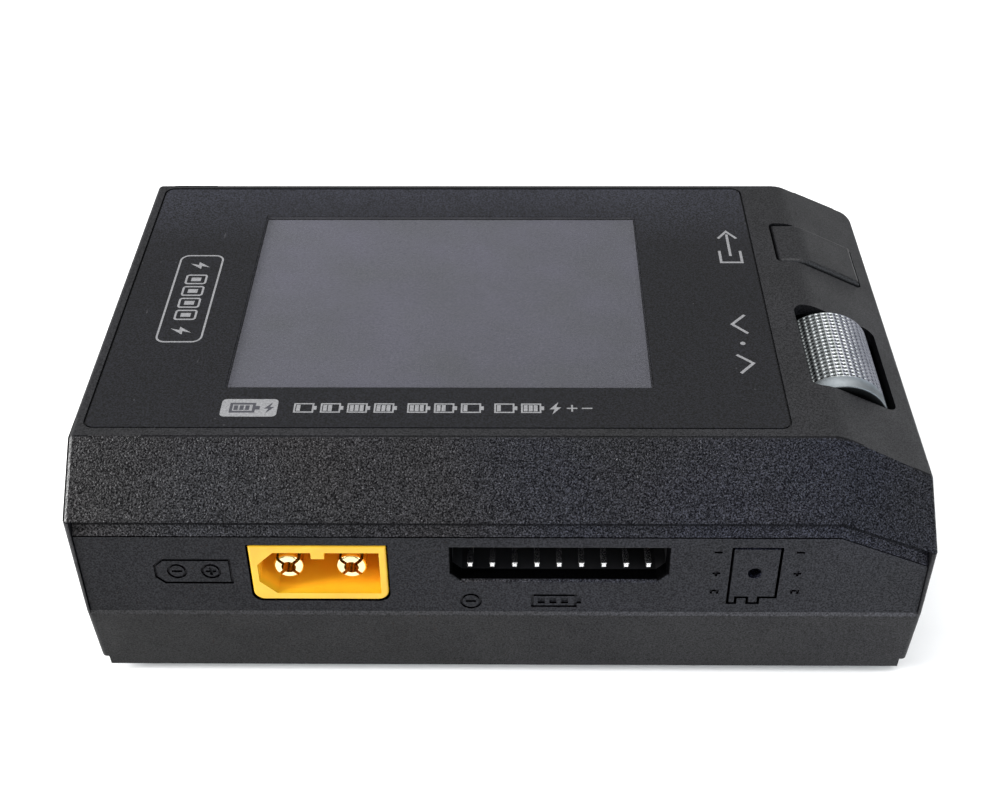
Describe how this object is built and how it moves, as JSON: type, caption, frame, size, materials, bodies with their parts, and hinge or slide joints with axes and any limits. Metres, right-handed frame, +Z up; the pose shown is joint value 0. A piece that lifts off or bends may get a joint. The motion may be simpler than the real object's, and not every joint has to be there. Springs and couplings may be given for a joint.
{
  "type": "balance battery charger",
  "caption": "Compact bevelled charger for battery packs, with a colour display, a scroll wheel, an exit button, power and balance sockets and a rear fan.",
  "frame": {"origin": "on the table under the middle of the case", "axes": "+Z up, +X to the right along the length of the case, -Y towards the side with the output and balance sockets"},
  "size_m": [0.0976, 0.068, 0.033],
  "materials": {
    "case_plastic": "spark-eroded matte",
    "panel_plastic": "fine matte",
    "overlay_film": "silk",
    "clear_window": "clear",
    "lcd_glass": "dark grey, unlit",
    "frame_plastic": "moulded",
    "circuit_board": "solder mask",
    "screw_steel": "zinc plated",
    "black_steel": "black oxide",
    "foot_rubber": "matte",
    "connector_yellow": "satin",
    "contact_gold": "gold plated",
    "header_black": "moulded",
    "pin_metal": "tin plated",
    "knurled_metal": "diamond knurl, bright",
    "axle_steel": "ground",
    "carrier_nylon": "moulded",
    "switch_black": "moulded",
    "plunger_nylon": "moulded",
    "fan_plastic": "moulded",
    "heatsink_metal": "extruded",
    "pad_silicone": "soft",
    "chip_epoxy": "moulded",
    "ferrite": "pressed",
    "can_metal": "sleeved can",
    "ribbon_film": "flat cable",
    "usb_steel": "stamped"
  },
  "bodies": {
    "casing": {"top_cover": "case_plastic", "bottom_shell": "case_plastic", "front_panel": "panel_plastic", "rear_panel": "panel_plastic", "case_screws": "black_steel", "rubber_feet": "foot_rubber", "screen_panel": "overlay_film", "screen_window": "clear_window", "lcd_module": "lcd_glass", "lcd_frame": "frame_plastic", "control_board": "circuit_board", "display_screws": "screw_steel", "display_ribbon": "ribbon_film", "main_board": "circuit_board", "board_screws": "screw_steel", "key_board": "circuit_board", "key_board_spacers": "contact_gold", "key_board_screws": "screw_steel", "output_contacts": "contact_gold", "output_housing": "connector_yellow", "input_contacts": "contact_gold", "input_housing": "connector_yellow", "balance_pins": "pin_metal", "balance_header": "header_black", "signal_pins": "pin_metal", "signal_header": "header_black", "usb_port": "usb_steel", "carrier_guide_pins": "axle_steel", "wheel_switch": "switch_black", "exit_switch": "switch_black", "fan_frame": "fan_plastic", "fan_screws": "black_steel", "heatsink": "heatsink_metal", "thermal_pad": "pad_silicone", "mosfets": "chip_epoxy", "power_inductors": "ferrite", "capacitors": "can_metal", "buzzer": "header_black"},
    "carrier": {"wheel_carrier": "carrier_nylon", "wheel_encoder": "switch_black"},
    "wheel": {"scroll_wheel": "knurled_metal", "wheel_axle": "axle_steel"},
    "wheel_plunger": {"wheel_switch_plunger": "plunger_nylon"},
    "exit_key": {"exit_button": "case_plastic"},
    "exit_plunger": {"exit_switch_plunger": "plunger_nylon"},
    "fan": {"fan_rotor": "fan_plastic"},
    "port_cover": {"signal_port_cover": "panel_plastic"}
  },
  "joints": [
    {"name": "wheel_press", "type": "slide", "parent": "casing", "child": "carrier", "axis": [0, 0, -1], "range_m": [0, 0.0005], "stiffness_N_per_m": 4000},
    {"name": "wheel_spin", "type": "hinge", "parent": "carrier", "child": "wheel", "pos_m": [0.0399, -0.00985, 0.02665], "axis": [0, 1, 0], "continuous": true},
    {"name": "wheel_switch_push", "type": "slide", "parent": "casing", "child": "wheel_plunger", "axis": [0, 0, -1], "range_m": [0, 0.0005]},
    {"name": "exit_press", "type": "slide", "parent": "casing", "child": "exit_key", "axis": [0, 0, -1], "range_m": [0, 0.0005], "stiffness_N_per_m": 4000},
    {"name": "exit_switch_push", "type": "slide", "parent": "casing", "child": "exit_plunger", "axis": [0, 0, -1], "range_m": [0, 0.0005]},
    {"name": "fan_spin", "type": "hinge", "parent": "casing", "child": "fan", "pos_m": [0.026, 0.0276, 0.014], "axis": [0, 1, 0], "continuous": true},
    {"name": "port_cover_pull", "type": "slide", "parent": "casing", "child": "port_cover", "axis": [0, -1, 0], "range_m": [0, 0.008]}
  ],
  "couplings": [
    {"joint": "wheel_switch_push", "follows": "wheel_press", "ratio": 1},
    {"joint": "exit_switch_push", "follows": "exit_press", "ratio": 1}
  ]
}
